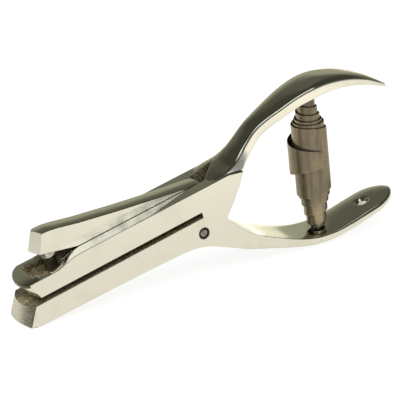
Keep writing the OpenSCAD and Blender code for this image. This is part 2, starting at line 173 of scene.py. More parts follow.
# Studio: the lit sheet's middle and radius on the floor, in metres, and the directions, in
# degrees from the far side towards the handles, of the sheet's long way, of the pale wall, and
# of the short and the tall panel. The sheet's glow and the panels' strength are as the metal
# sees them
SHEET_AT = (0.10, 0.16)
SHEET_R = 0.27
SHEET_AZIMUTH = 30
WALL_AZIMUTH = 25
SHORT_AZIMUTH = 178
TALL_AZIMUTH = 184
PANEL_STRENGTH = 0.95
SHEET_GLOW = 0.6
CREAM = (1, 0.945, 0.73, 1)


# ---------------------------------------------------------------- places and curves

def row_frame():
    """Pitch of the jaws' plane and the pivot's place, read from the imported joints."""
    stroke = JOINTS["punch_stroke"]["axis"]
    pivot = JOINTS["squeeze"]["pos_m"]
    return math.atan2(stroke[0], -stroke[2]), pivot


def to_row(points):
    """Points in the jaws' plane, in millimetres, as points in the row frame, in metres."""
    pitch, pivot = row_frame()
    p = np.asarray(points, float).reshape(-1, 3) * MM
    c, s = math.cos(pitch), math.sin(pitch)
    return np.column_stack((
        p[:, 0] * c - p[:, 2] * s + pivot[0],
        p[:, 1],
        p[:, 0] * s + p[:, 2] * c + pivot[2],
    ))


def smooth(rows, steps):
    """A smooth curve through the rows, with a number of steps between neighbours."""
    rows = np.asarray(rows, float)
    out = []
    last = len(rows) - 1
    for i in range(last):
        a, b = rows[max(i - 1, 0)], rows[i]
        c, d = rows[i + 1], rows[min(i + 2, last)]
        for k in range(steps):
            t = k / steps
            out.append(0.5 * (
                2 * b + (c - a) * t + (2 * a - 5 * b + 4 * c - d) * t * t
                + (3 * b - a - 3 * c + d) * t ** 3
            ))
    out.append(rows[last])
    return np.array(out)


def polar(radius, degrees):
    """A point on a circle round the pivot."""
    a = math.radians(degrees)
    return radius * math.cos(a), radius * math.sin(a)


def arc(radius, start, end, steps):
    """Points along a circle round the pivot, from one angle to another."""
    return [polar(radius, start + (end - start) * k / steps) for k in range(steps + 1)]


# ---------------------------------------------------------------- solids

def solid(name, points, faces):
    """A closed body as an object at the origin, from points in the jaws' plane."""
    mesh = bpy.data.meshes.new(name)
    mesh.from_pydata([tuple(p) for p in to_row(points)], [], faces)
    mesh.update()
    thing = bpy.data.objects.new(name, mesh)
    bpy.context.scene.collection.objects.link(thing)
    return thing


def loft(name, rings):
    """A body through closed rings that all have the same number of points."""
    count, n = len(rings), len(rings[0])
    faces = [
        (i * n + k, i * n + (k + 1) % n, (i + 1) * n + (k + 1) % n, (i + 1) * n + k)
        for i in range(count - 1) for k in range(n)
    ]
    faces.append(tuple(range(n - 1, -1, -1)))
    faces.append(tuple((count - 1) * n + k for k in range(n)))
    thing = solid(name, np.concatenate(rings), faces)
    outward(thing)
    return thing


def outward(thing):
    """Turns every face of a closed body to point outwards."""
    work = bmesh.new()
    work.from_mesh(thing.data)
    bmesh.ops.recalc_face_normals(work, faces=work.faces)
    if work.calc_volume(signed=True) < 0:
        bmesh.ops.reverse_faces(work, faces=work.faces)
    work.to_mesh(thing.data)
    work.free()


def inset(outline, amount):
    """An outline moved inwards by an amount, along the normals of its corners."""
    p = np.array(outline, float)
    if not np.any(amount):
        return p
    area = np.sum(p[:, 0] * np.roll(p[:, 1], -1) - np.roll(p[:, 0], -1) * p[:, 1])
    before, after = p - np.roll(p, 1, 0), np.roll(p, -1, 0) - p
    before /= np.linalg.norm(before, axis=1)[:, None]
    after /= np.linalg.norm(after, axis=1)[:, None]
    normal = np.column_stack((-(before + after)[:, 1], (before + after)[:, 0]))
    square = np.maximum((normal * normal).sum(axis=1), 1.6)
    amount = np.broadcast_to(amount, len(p))[:, None] * (1 if area > 0 else -1)
    return p + 2 * normal / square[:, None] * amount


def at_width(line, y):
    """An outline in x and z as a ring at a place across the jaws."""
    return np.column_stack((line[:, 0], np.full(len(line), y), line[:, 1]))


def rim_rows(half_width, edge):
    """Half widths through a rounded rim, each with its distance inside the outline."""
    if edge == 0:
        return [(half_width, 0.0)]
    steps = 3
    turns = [math.radians(90 * k / steps) for k in range(steps + 1)]
    return [(half_width - edge * (1 - math.sin(t)), edge * (1 - math.cos(t))) for t in turns]


def plate(name, outline, half_width, edge=0.0, share=1.0):
    """A flat outline in x and z, given a thickness across the jaws, with rounded rims.

    The share, one for all corners or one for each, says how much of its rounding each gets.
    """
    rows = rim_rows(half_width, edge)
    rows = [(-y, amount) for y, amount in reversed(rows)] + rows
    return loft(name, [at_width(inset(outline, amount * share), y) for y, amount in rows])


def block(name, low, high):
    """A box between two corners in the jaws' plane."""
    outline = [(low[0], low[2]), (high[0], low[2]), (high[0], high[2]), (low[0], high[2])]
    rings = [np.array([(x, y, z) for x, z in outline]) for y in (low[1], high[1])]
    return loft(name, rings)


def circle(way, sides):
    """A unit circle square to a direction."""
    side = np.cross(way, (0, 1, 0) if abs(way[1]) < 0.9 else (1, 0, 0))
    side = side / np.linalg.norm(side)
    turn = np.linspace(0, 2 * math.pi, sides, endpoint=False)
    return np.outer(np.cos(turn), side) + np.outer(np.sin(turn), np.cross(way, side))


def round_bar(name, start, end, r1, r2=None, sides=96):
    """A round bar or cone between two points in the jaws' plane."""
    start, end = np.asarray(start, float), np.asarray(end, float)
    ring = circle((end - start) / np.linalg.norm(end - start), sides)
    return loft(name, [start + ring * r1, end + ring * (r1 if r2 is None else r2)])


def turned(name, at, way, path, sides=64):
    """A turned body: heights from a place along a direction, each with its radius."""
    ring = circle(way, sides)
    return loft(name, [at + h * way + r * ring for h, r in path])


def combine(target, others, operation):
    """Joins, cuts or intersects a body with others, which are used up."""
    for other in others:
        step = target.modifiers.new("step", "BOOLEAN")
        step.operation = operation
        step.solver = "EXACT"
        step.object = other
        bake_modifiers(target)
        bpy.data.objects.remove(other)


def bake_modifiers(thing):
    """Turns a body's modifiers into its plain mesh."""
    depsgraph = bpy.context.evaluated_depsgraph_get()
    mesh = bpy.data.meshes.new_from_object(thing.evaluated_get(depsgraph))
    thing.modifiers.clear()
    thing.data = mesh
    mesh.name = thing.name


def finish_surface(thing, sharp_degrees=28.0):
    """Smooth shading with sharp edges kept, and wide flat faces that stay flat."""
    mesh = thing.data
    mesh.polygons.foreach_set("use_smooth", [True] * len(mesh.polygons))
    mesh.set_sharp_from_angle(angle=math.radians(sharp_degrees))
    weigh = thing.modifiers.new("weigh", "WEIGHTED_NORMAL")
    weigh.keep_sharp = True
    bake_modifiers(thing)


def plane_points(thing):
    """Centre in millimetres and normal of each face, in the jaws' plane."""
    pitch, pivot = row_frame()
    c, s = math.cos(pitch), math.sin(pitch)
    count = len(thing.data.polygons)
    centre, normal = np.empty(count * 3), np.empty(count * 3)
    thing.data.polygons.foreach_get("center", centre)
    thing.data.polygons.foreach_get("normal", normal)
    centre, normal = centre.reshape(-1, 3), normal.reshape(-1, 3)
    x, z = centre[:, 0] - pivot[0], centre[:, 2] - pivot[2]
    flat = np.column_stack((x * c + z * s, centre[:, 1], -x * s + z * c)) / MM
    facing = np.column_stack((
        normal[:, 0] * c + normal[:, 2] * s, normal[:, 1], -normal[:, 0] * s + normal[:, 2] * c))
    return flat, facing


def finishes(thing, keys, masks=()):
    """Gives a body its materials: the first all over, and each other where its mask holds."""
    for key in keys:
        thing.data.materials.append(MATERIALS[key])
    index = np.zeros(len(thing.data.polygons), np.int32)
    for number, mask in enumerate(masks, 1):
        index[mask] = number
    thing.data.polygons.foreach_set("material_index", index)


# ---------------------------------------------------------------- outlines

def handle_rings(stations, side):
    """Rings of a handle: side is 1 where its outer face is on the left of the path."""
    path = smooth(stations, 7)
    crown, flank, power = 40, 5, 0.8
    turns = [math.pi * k / crown for k in range(crown + 1)]
    bow = [(math.copysign(abs(math.cos(t)) ** power, math.cos(t)), abs(math.sin(t)) ** power)
           for t in turns]
    rings = []
    for i, (x, z, half, height, outer, inner) in enumerate(path):
        a, b = path[max(i - 1, 0)], path[min(i + 1, len(path) - 1)]
        lean = math.atan2(b[1] - a[1], b[0] - a[0]) + side * math.pi / 2
        section = [(half * u, height + outer * v) for u, v in bow]
        section += [(-half, height * (1 - k / flank)) for k in range(1, flank)]
        section += [(-half * u, -inner * v) for u, v in bow]
        section += [(half, height * k / flank) for k in range(1, flank)]
        rings.append(np.array([
            (x + h * math.cos(lean), y, z + h * math.sin(lean)) for y, h in section]))
    return rings


def jaw_under():
    """The underside of the lower jaw, from the nose's tip to the shoulder of the knuckle."""
    return smooth([
        (-NOSE_TIP, TIP_Z), (-NOSE_TIP + 2.4, KEEL_Z + 0.8), (-NOSE_TIP + 6, KEEL_Z + 0.1),
        (-40, KEEL_Z - 0.2), (-20, KEEL_Z - 0.7), (-8, KEEL_Z - 1.3), (-3, -4.1),
        (1.2, -5.7), polar(KNUCKLE_R, SHOULDER_A)], 10)


def scoop_line():
    """The jaw's top where the wall comes down to the nose, from the wall forwards."""
    return np.concatenate((smooth([
        (-42, WALL_Z), (-44.5, WALL_Z - 0.2), (-47.6, (WALL_Z + NOSE_Z) / 2),
        (-50.4, NOSE_Z + 0.15), (-53, NOSE_Z)], 8), [(-70, NOSE_Z)]))


def frame_outline():
    """The frame's side, without the handle: underside, knuckle, back edge and top."""
    return np.concatenate((
        jaw_under(),
        arc(KNUCKLE_R, SHOULDER_A + 0.5, CROTCH_A, 129),
        [(12.6, 4.4), (16.75, 9.3), (19.4, 13.4), (14, WALL_Z)],
        scoop_line()[:-1],
        [(-NOSE_TIP - 8, NOSE_Z), (-NOSE_TIP - 8, TIP_Z + 3)],
    ))


def upper_nose():
    """Envelope of the upper jaw's nose, from its outline seen from above."""
    rows = smooth(NOSE_ROWS, 8)
    front = -REACH + 0.6
    back = -REACH + NOSE_R + 2

    def ring(column, z):
        """The outline at a height, by a column of its rows."""
        line = [(front + row[column], row[0], z) for row in rows]
        return np.array(line + [(back, rows[-1][0], z), (back, rows[0][0], z)])

    heights = [(2, THROAT_Z + 0.01), (2, THROAT_TOP - 0.2), (1, NOSE_Z - 1), (1, NOSE_Z + 2)]
    return loft("upper_nose", [ring(column, z) for column, z in heights])


def lower_nose():
    """Envelope of the lower jaw's nose, a cone."""
    drop = 12
    x = -REACH + NOSE_R
    wide = NOSE_R + drop * math.tan(math.radians(NOSE_LEAN))
    return round_bar("lower_nose", (x, 0, THROAT_Z - drop), (x, 0, THROAT_Z), wide, NOSE_R, 192)


def arm_outline():
    """The arm and the web under it, before the nose is ground."""
    nose = -ARM_REACH
    return np.array([
        (nose - 3, 19.2), (nose + 14.1, 14.7), (nose + 19.6, 13.6), (THROAT_END + 1.2, 9.6),
        (THROAT_END + 1.2, 3), (0, 0), (8.6, 0.2), (5.8, 6), (5.4, 14.6), (4.8, 14.9), (0, 15.5),
        (-9.3, 16.9), (-23.6, 19.5), (nose + 16.2, 22.4), (nose + 9.4, 24.1), (nose + 6, 24.7),
        (nose - 3, 24.9)])


def foot_outline():
    """What joins the web and the lower handle, round the pivot."""
    under = [p for p in jaw_under() if p[0] > -3.4]
    return np.array([(0, 0), (-3.4, -2.6)] + [tuple(p) for p in under] + [
        polar(KNUCKLE_R + 2, SHOULDER_A + 6), polar(KNUCKLE_R + 2, -20),
        polar(KNUCKLE_R + 0.03, FOOT_A)])


def table(value, rows):
    """A value read from a table, eased so that its line has no corners at the rows."""
    return float(np.mean([
        np.interp(value + step, [r[0] for r in rows], [r[1] for r in rows])
        for step in np.linspace(-0.03, 0.03, 7)]))


def wind_radius(t):
    """Radius of the strip after some turns; its last turn stands off on one side."""
    loose = min(1.0, max(0.0, (SPRING_TURNS - t - 0.12) / 0.7))
    pitch = (SPRING_OUT_R - SPRING_END_R) / SPRING_TURNS
    return SPRING_END_R + pitch * t + 1.05 * math.sin(math.pi * loose)


def spring_line():
    """Length and lean of the spring's axis."""
    dx, dz = SPRING_HEAD[0] - SPRING_FOOT[0], SPRING_HEAD[1] - SPRING_FOOT[1]
    return math.hypot(dx, dz), math.atan2(dx, dz)


# ---------------------------------------------------------------- settings

class PunchSizes(bpy.types.PropertyGroup):
    """Sizes that a user would change."""

    body_width: bpy.props.FloatProperty(
        name="Body width", description="Width of the jaws and cheeks",
        default=15.4, min=14, max=17, unit="NONE")
    arm_width: bpy.props.FloatProperty(
        name="Arm width", description="Width of the lever's arm",
        default=6.2, min=6, max=7, unit="NONE")
    arm_gap: bpy.props.FloatProperty(
        name="Arm gap", description="Gap on each side of the arm in its channel",
        default=0.25, min=0.15, max=0.4, unit="NONE")
    punch_radius: bpy.props.FloatProperty(
        name="Punch radius", description="Radius of the punch",
        default=2.2, min=2, max=2.7, unit="NONE")
    edge_round: bpy.props.FloatProperty(
        name="Edge rounding", description="Radius of the polished edges",
        default=0.22, min=0.05, max=0.6, unit="NONE")


class PunchFinishes(bpy.types.PropertyGroup):
    """Colours that a user would change."""

    nickel: bpy.props.FloatVectorProperty(
        name="Nickel", description="Colour of the polished nickel plate",
        default=(0.93, 0.915, 0.87), min=0, max=1, size=3, subtype="COLOR")
    raw_steel: bpy.props.FloatVectorProperty(
        name="Raw steel", description="Colour of the rough steel in the slot and pocket",
        default=(0.26, 0.22, 0.13), min=0, max=1, size=3, subtype="COLOR")
    tool_steel: bpy.props.FloatVectorProperty(
        name="Tool steel", description="Colour of the hardened punch and die",
        default=(0.19, 0.17, 0.14), min=0, max=1, size=3, subtype="COLOR")
    spring: bpy.props.FloatVectorProperty(
        name="Spring steel", description="Straw-brown colour of the tempered strip",
        default=(0.335, 0.272, 0.185), min=0, max=1, size=3, subtype="COLOR")


# ---------------------------------------------------------------- materials

def feed(tree, socket, value):
    """Links a socket to another, or sets it to a constant; None leaves it as it is."""
    if isinstance(value, bpy.types.NodeSocket):
        tree.links.new(value, socket)
    elif value is not None:
        socket.default_value = value


def feed_all(tree, made, **inputs):
    """Feeds the inputs of a node by their names, and returns the node."""
    for name, value in inputs.items():
        feed(tree, made.inputs[name.replace("_", " ")], value)
    return made


def node(tree, kind, settings=None, **inputs):
    """Adds a node, sets its properties and feeds its inputs."""
    made = tree.nodes.new(kind)
    for name, value in (settings or {}).items():
        setattr(made, name, value)
    return feed_all(tree, made, **inputs)


def calc(tree, operation, *values, clamp=False):
    """Result of a Math node."""
    made = node(tree, "ShaderNodeMath", {"operation": operation, "use_clamp": clamp})
    for socket, value in zip(made.inputs, values):
        feed(tree, socket, value)
    return made.outputs[0]


def product(tree, *values):
    """Product of two or more values."""
    total = values[0]
    for value in values[1:]:
        total = calc(tree, "MULTIPLY", total, value)
    return total


def hypot(tree, a, b):
    """Length of a vector that has two parts."""
    return calc(tree, "SQRT", calc(tree, "ADD", product(tree, a, a), product(tree, b, b)))


def along(tree, x, y, azimuth):
    """Part of a vector that lies in a direction, in degrees from the far side."""
    a = math.radians(azimuth)
    return calc(tree, "ADD", product(tree, x, math.sin(a)), product(tree, y, math.cos(a)))


def axes(tree, place):
    """The x, y and z of a place."""
    return node(tree, "ShaderNodeSeparateXYZ", Vector=place).outputs


def ramp(tree, value, low, high, start=0.0, end=1.0):
    """Smooth change from start to end while a value goes from low to high."""
    return node(tree, "ShaderNodeMapRange", {"interpolation_type": "SMOOTHSTEP"}, Value=value,
                From_Min=low, From_Max=high, To_Min=start, To_Max=end).outputs[0]


def blend(tree, share, a, b, kind="RGBA", mode="MIX"):
    """Mix of two colours, or of two values or vectors if the kind says so."""
    return node(tree, "ShaderNodeMix", {"data_type": kind, "blend_type": mode}, Factor=share,
                A=a, B=b).outputs["Result"]


def tint(colour, by=1.0):
    """A colour with alpha, made darker or paler by a factor."""
    return (*(min(1.0, v * by) for v in colour), 1)


def base_material(name, colour, roughness, metallic=1.0):
    """A material with one Principled shader, and its object coordinates."""
    material = bpy.data.materials.new(name)
    material.use_nodes = True
    tree = material.node_tree
    shader = feed_all(tree, tree.nodes["Principled BSDF"], Base_Color=tint(colour),
                      Metallic=metallic, Roughness=roughness)
    return material, tree, shader, node(tree, "ShaderNodeTexCoord").outputs["Object"]


def dress(tree, shader, colour, normal):
    """Gives a shader its colour and its normal."""
    feed_all(tree, shader, Base_Color=colour, Normal=normal)


def noise(tree, place, scale, detail=2.0, rough=0.5, stretch=None):
    """Value of a noise over a place, stretched along the axes if a stretch is given."""
    if stretch:
        place = node(tree, "ShaderNodeMapping", Vector=place, Scale=stretch).outputs[0]
    return node(tree, "ShaderNodeTexNoise", Vector=place, Scale=scale, Detail=detail,
                Roughness=rough).outputs["Fac"]


def bump(tree, height, distance, strength, normal=None):
    """Normal of a surface that a height raises."""
    return node(tree, "ShaderNodeBump", Height=height, Distance=distance, Strength=strength,
                Normal=normal).outputs[0]


def soft_edges(tree, radius):
    """Normal of a surface whose edges are rounded by a radius."""
    return node(tree, "ShaderNodeBevel", {"samples": 6}, Radius=radius).outputs[0]


def seam_safe_edges(tree, place):
    """Soft edges everywhere but along the arc where the two forgings meet."""
    _, pivot = row_frame()
    x, _, z = axes(tree, place)
    off = hypot(tree, calc(tree, "SUBTRACT", x, pivot[0]), calc(tree, "SUBTRACT", z, pivot[2]))
    near = calc(tree, "ABSOLUTE", calc(tree, "SUBTRACT", off, KNUCKLE_R * MM))
    plain = node(tree, "ShaderNodeNewGeometry").outputs["Normal"]
    return blend(tree, ramp(tree, near, 0.0004, 0.0007), plain, soft_edges(tree, 0.00025),
                 "VECTOR")


def spots(tree, place, scale, share, radius):
    """Mask of small round spots: a share of the cells of a grid of cells has one."""
    cells = node(tree, "ShaderNodeTexVoronoi", Vector=place, Scale=scale)
    pick = node(tree, "ShaderNodeSeparateColor", Color=cells.outputs["Color"])
    return product(tree, calc(tree, "LESS_THAN", pick.outputs[0], share),
                   ramp(tree, cells.outputs["Distance"], radius * 0.5, radius, 1, 0))


def nickel_material(finish):
    """Polished plate: soft edges, faint clouds, hairline scratches and a few pits."""
    material, tree, shader, place = base_material("nickel_plate", finish.nickel, 0.13)
    cloud = ramp(tree, noise(tree, place, 95, 4, 0.6), 0.52, 0.72)
    pits = product(tree, spots(tree, place, 420, 0.045, 0.09), 0.75)
    colour = blend(tree, cloud, tint(finish.nickel), tint(finish.nickel, 0.93))
    colour = blend(tree, pits, colour, (0.2, 0.18, 0.13, 1))
    lines = noise(tree, place, 1.0, 3, 0.6, (160, 160, 5200))
    rough = calc(tree, "MULTIPLY_ADD", ramp(tree, lines, 0.5, 0.8), 0.06, 0.1)
    feed_all(tree, shader, Roughness=calc(tree, "MULTIPLY_ADD", cloud, 0.05, rough))
    wave = bump(tree, noise(tree, place, 130, 1), 0.0006, 0.08, seam_safe_edges(tree, place))
    dress(tree, shader, colour, bump(tree, lines, 0.000012, 0.25, wave))
    return material


def raw_material(finish, name, dark_by, pale_by, edge_by):
    """Rough unplated steel, speckled and stained; its factors can paint light into a hollow."""
    material, tree, shader, place = base_material(name, finish.raw_steel, 0.55, 0.3)
    grain = noise(tree, place, 1800, 2, 0.6)
    stain = ramp(tree, noise(tree, place, 420, 3, 0.6), 0.4, 0.62)
    # the grain runs between two multiples of the steel's colour; multiples above one are painted
    # light, standing in for light that a hollow doesn't get
    colour = blend(tree, ramp(tree, grain, 0.42, 0.62), tint(finish.raw_steel, dark_by),
                   tint(finish.raw_steel, pale_by))
    colour = blend(tree, product(tree, stain, 0.45), colour, (0.075, 0.042, 0.02, 1))
    # the last factor darkens the colour towards both sides, so that the painted light is
    # strongest along the middle
    aside = calc(tree, "ABSOLUTE", axes(tree, place)["Y"])
    shade = ramp(tree, aside, 0.001, 0.0076, 1.0, edge_by)
    grey = node(tree, "ShaderNodeCombineXYZ", X=shade, Y=shade, Z=shade)
    colour = blend(tree, 1.0, colour, grey.outputs[0], mode="MULTIPLY")
    dress(tree, shader, colour, bump(tree, grain, 0.00025, 0.8))
    return material


def filed_material(finish, name, extra_darkness):
    """Satin face with the marks of a file across it, darker towards the near side."""
    material, tree, shader, place = base_material(name, finish.nickel, 0.3)
    marks = noise(tree, place, 1.0, 3, 0.65, (700, 700, 4200))
    mark = ramp(tree, marks, 0.4, 0.6)
    shade = ramp(tree, axes(tree, place)["Y"], -0.0074, 0.0005, 1, 0)
    # darker towards the near side, by the extra darkness, and along the file marks
    deep = calc(tree, "MULTIPLY_ADD", product(tree, mark, shade), 0.3, extra_darkness)
    deep = calc(tree, "MULTIPLY_ADD", shade, 0.5, deep)
    deep = calc(tree, "MULTIPLY_ADD", mark, 0.16, deep, clamp=True)
    colour = blend(tree, deep, (0.80, 0.785, 0.72, 1), (0.13, 0.125, 0.095, 1))
    dress(tree, shader, colour, bump(tree, marks, 0.00008, 0.6, soft_edges(tree, 0.0002)))
    return material


def worn_material(finish):
    """Plate of the nose's top, rubbed dull and darker towards the near edge."""
    material, tree, shader, place = base_material("worn_plate", finish.nickel, 0.2)
    cloud = noise(tree, place, 900, 3, 0.6)
    across = calc(tree, "MULTIPLY_ADD", cloud, 0.003, axes(tree, place)["Y"])
    shade = ramp(tree, across, -0.0062, 0.0016, 0.9, 0.0)
    specks = ramp(tree, noise(tree, place, 2600, 2), 0.62, 0.72)
    colour = blend(tree, shade, tint(finish.nickel), (0.06, 0.055, 0.04, 1))
    colour = blend(tree, product(tree, specks, 0.4), colour, (1, 1, 0.96, 1))
    dress(tree, shader, colour, bump(tree, cloud, 0.00005, 0.4, soft_edges(tree, 0.0003)))
    return material


def spring_material(finish):
    """Tempered strip: straw brown, streaked along its height, paler near its lower end."""
    material, tree, shader, place = base_material("spring_strip", finish.spring, 0.34, 0.8)
    streak = ramp(tree, noise(tree, place, 1.0, 3, 0.55, (520, 520, 45)), 0.38, 0.66)
    patch = ramp(tree, noise(tree, place, 160, 3, 0.6), 0.4, 0.66)
    dark = tuple(v * f for v, f in zip(finish.spring, (0.62, 0.64, 0.68)))
    colour = blend(tree, streak, tint(finish.spring), tint(dark))
    colour = blend(tree, product(tree, patch, 0.4), colour, (0.17, 0.155, 0.13, 1))
    foot = ramp(tree, axes(tree, place)["Z"], 0.007, 0.019, 1, 0)
    pale = product(tree, foot, blend(tree, streak, 0.7, 0.35, "FLOAT"))
    colour = blend(tree, pale, colour, (0.62, 0.52, 0.36, 1))
    dress(tree, shader, colour, bump(tree, noise(tree, place, 300, 2), 0.0003, 0.12))
    return material


def steel_material(name, colour, roughness, mottle=0.35):
    """Plain hardened steel with a fine mottle."""
    material, tree, shader, place = base_material(name, colour, roughness, 0.9)
    patch = ramp(tree, noise(tree, place, 1500, 3, 0.6), 0.4, 0.65)
    colour = blend(tree, patch, tint(colour), tint(colour, 1 - mottle))
    dress(tree, shader, colour, soft_edges(tree, 0.00012))
    return material


def make_materials(finish):
    """Makes every material, under the short name that the operators give it."""
    MATERIALS.update(
        nickel=nickel_material(finish),
        # painted light: the slot's and the pocket's copies are made paler than the steel, for
        # light that their hollows don't get; the pit's keeps near the steel's own colour
        raw=raw_material(finish, "raw_steel", 1.3, 3.0, 0.4),
        pit=raw_material(finish, "raw_pit", 0.3, 1.3, 1.0),
        grit=raw_material(finish, "raw_pocket", 0.45, 2.0, 1.0),
        filed=filed_material(finish, "filed_nickel", 0.0),
        rim=filed_material(finish, "dark_rim_plate", 0.5),
        worn=worn_material(finish),
        spring=spring_material(finish),
        tool=steel_material("tool_steel", finish.tool_steel, 0.4),
        pin=steel_material("pin_steel", (0.36, 0.355, 0.33), 0.28),
        # the pale edge steel paints a highlight along the spring strip's lower edges, and covers
        # its ends
        strip_edge=steel_material("strip_edge", (0.62, 0.56, 0.43), 0.35, 0.2),
        recess=steel_material("pin_recess", (0.03, 0.026, 0.018), 0.6),
    )


# ---------------------------------------------------------------- operators

class PUNCH_OT_stage(bpy.types.Operator):
    """Makes the camera, the floor, the lamps and the world."""

    bl_idname = "punch.stage"
    bl_label = "Make stage"

    def execute(self, context):
        scene = context.scene
        self.camera(scene)
        self.floor(scene)
        self.lamp(scene)
        self.world(scene)
        scene.view_settings.view_transform = "Standard"
        return {"FINISHED"}

    def camera(self, scene):
        """The photograph's camera, from its place and the directions to its right and back."""
        data = bpy.data.cameras.new("photo_camera")
        data.lens = 167.94
        data.sensor_width = 36
        data.clip_start, data.clip_end = 0.05, 50
        right = Vector((0.86029, -0.50754, -0.048)).normalized()
        back = Vector((-0.45753, -0.81018, 0.36644)).normalized()
        turn = Matrix((right, back.cross(right), back)).transposed()
        camera = bpy.data.objects.new("photo_camera", data)
        scene.collection.objects.link(camera)
        camera.matrix_world = Matrix.Translation((-0.280198, -0.489966, 0.246263)) @ turn.to_4x4()
        scene.camera = camera

    def floor(self, scene):
        """White paper, with a lit sheet that only the polished metal sees."""
        mesh = bpy.data.meshes.new("floor")
        size = 2.5
        mesh.from_pydata(
            [(-size, -size, 0), (size, -size, 0), (size, size, 0), (-size, size, 0)], [],
            [(0, 1, 2, 3)])
        floor = bpy.data.objects.new("floor", mesh)
        scene.collection.objects.link(floor)
        material = bpy.data.materials.new("white_paper")
        material.use_nodes = True
        tree = material.node_tree
        tree.nodes.clear()
        x, y, _ = axes(tree, node(tree, "ShaderNodeTexCoord").outputs["Object"])
        dx = calc(tree, "SUBTRACT", x, SHEET_AT[0])
        dy = calc(tree, "SUBTRACT", y, SHEET_AT[1])
        # the sheet reaches further beyond its middle than before it
        ahead = along(tree, dx, dy, SHEET_AZIMUTH)
        ahead = calc(tree, "MINIMUM", product(tree, ahead, 0.7), product(tree, ahead, 0.35))
        away = hypot(tree, ahead, along(tree, dx, dy, SHEET_AZIMUTH + 90))
        sheet = ramp(tree, away, SHEET_R * 0.8, SHEET_R * 1.5, SHEET_GLOW, 0.02)
        # brightest near the camera, dimmed under the punch as a painted shadow of the object, and
        # dim off the jaws' end
        near = ramp(tree, y, -0.2, -0.03, 1.5, 0.93)
        far = ramp(tree, y, 0.02, 0.12, 0.0, 0.9)
        sheet = product(tree, sheet, calc(tree, "ADD", near, far),
                        ramp(tree, x, -0.2, -0.08, 0.6, 1.0))
        path = node(tree, "ShaderNodeLightPath").outputs
        seen = calc(tree, "ADD", path["Is Camera Ray"], path["Is Transmission Ray"], clamp=True)
        strength = calc(tree, "MULTIPLY_ADD", seen, 0.86,
                        product(tree, path["Is Glossy Ray"], sheet))
        strength = calc(tree, "MULTIPLY_ADD", path["Is Diffuse Ray"], 0.3, strength)
        glow = node(tree, "ShaderNodeEmission", Strength=strength,
                    Color=blend(tree, path["Is Glossy Ray"], (1, 1, 1, 1), CREAM))
        paper = node(tree, "ShaderNodeBsdfDiffuse", Color=(0.2, 0.2, 0.2, 1))
        add = node(tree, "ShaderNodeAddShader")
        tree.links.new(paper.outputs[0], add.inputs[0])
        tree.links.new(glow.outputs[0], add.inputs[1])
        node(tree, "ShaderNodeOutputMaterial", Surface=add.outputs[0])
        mesh.materials.append(material)

    def lamp(self, scene):
        """A round lamp above, which the polished metal doesn't see."""
        data = bpy.data.lights.new("sky_panel", "AREA")
        data.shape = "DISK"
        data.size = 1.6
        data.energy = 22
        lamp = bpy.data.objects.new("sky_panel", data)
        scene.collection.objects.link(lamp)
        lamp.location = (-0.2, -0.5, 1.3)
        lamp.rotation_euler = Vector(lamp.location).to_track_quat("Z", "Y").to_euler()
        lamp.visible_glossy = False

    def world(self, scene):
        """Soft even light, and for the polished metal a room with panels and a pale wall."""
        world = bpy.data.worlds.new("studio")
        scene.world = world
        world.use_nodes = True
        tree = world.node_tree
        tree.nodes.clear()
        x, y, z = axes(tree, node(tree, "ShaderNodeTexCoord").outputs["Generated"])
        level = calc(tree, "MAXIMUM", hypot(tree, x, y), 0.01)

        def towards(azimuth, low, high):
            """1 for rays that go in a direction, seen from above; low and high are cosines."""
            return ramp(tree, calc(tree, "DIVIDE", along(tree, x, y, azimuth), level), low, high)

        def band(bottom, top):
            """1 for rays whose rise lies between two soft edges."""
            return product(tree, ramp(tree, z, *bottom), ramp(tree, z, *top, 1, 0))

        def background(strength, colour=None):
            """A light of a strength, white where no colour is given."""
            return node(tree, "ShaderNodeBackground", Strength=strength, Color=colour).outputs[0]

        def choose(share, a, b):
            """The first light where the share is 0, and the second where it is 1."""
            made = node(tree, "ShaderNodeMixShader")
            for socket, value in zip(made.inputs, (share, a, b)):
                tree.links.new(value, socket)
            return made.outputs[0]

        wall = towards(WALL_AZIMUTH, 0.78, 0.985)
        low = blend(tree, wall, 0.13, 0.32, "FLOAT")
        high = blend(tree, wall, 0.046, 0.093, "FLOAT")
        back = blend(tree, ramp(tree, z, 0.32, 0.62), low, high, "FLOAT")
        skirting = product(tree, wall, ramp(tree, z, 0.045, 0.1, 0.85, 0.0))
        back = calc(tree, "MAXIMUM", back, skirting)
        front = ramp(tree, z, 0.1, 0.4, 0.1, 0.04)
        room = blend(tree, ramp(tree, y, -0.15, 0.1), front, back, "FLOAT")
        foot = (0.42, 0.47)
        short = product(tree, towards(SHORT_AZIMUTH, 0.968, 0.977), band(foot, (0.56, 0.62)))
        tall = product(tree, towards(TALL_AZIMUTH, 0.938, 0.95), band(foot, (0.7, 0.75)))
        panel = calc(tree, "MAXIMUM", short, tall)
        room = calc(tree, "MULTIPLY_ADD", panel, PANEL_STRENGTH, room)
        shiny = background(room, blend(tree, panel, (1, 1, 0.7, 1), (1, 1, 0.92, 1)))
        path = node(tree, "ShaderNodeLightPath").outputs
        unseen = choose(path["Is Glossy Ray"], background(0.6), shiny)
        node(tree, "ShaderNodeOutputWorld",
             Surface=choose(path["Is Camera Ray"], unseen, background(1.0)))


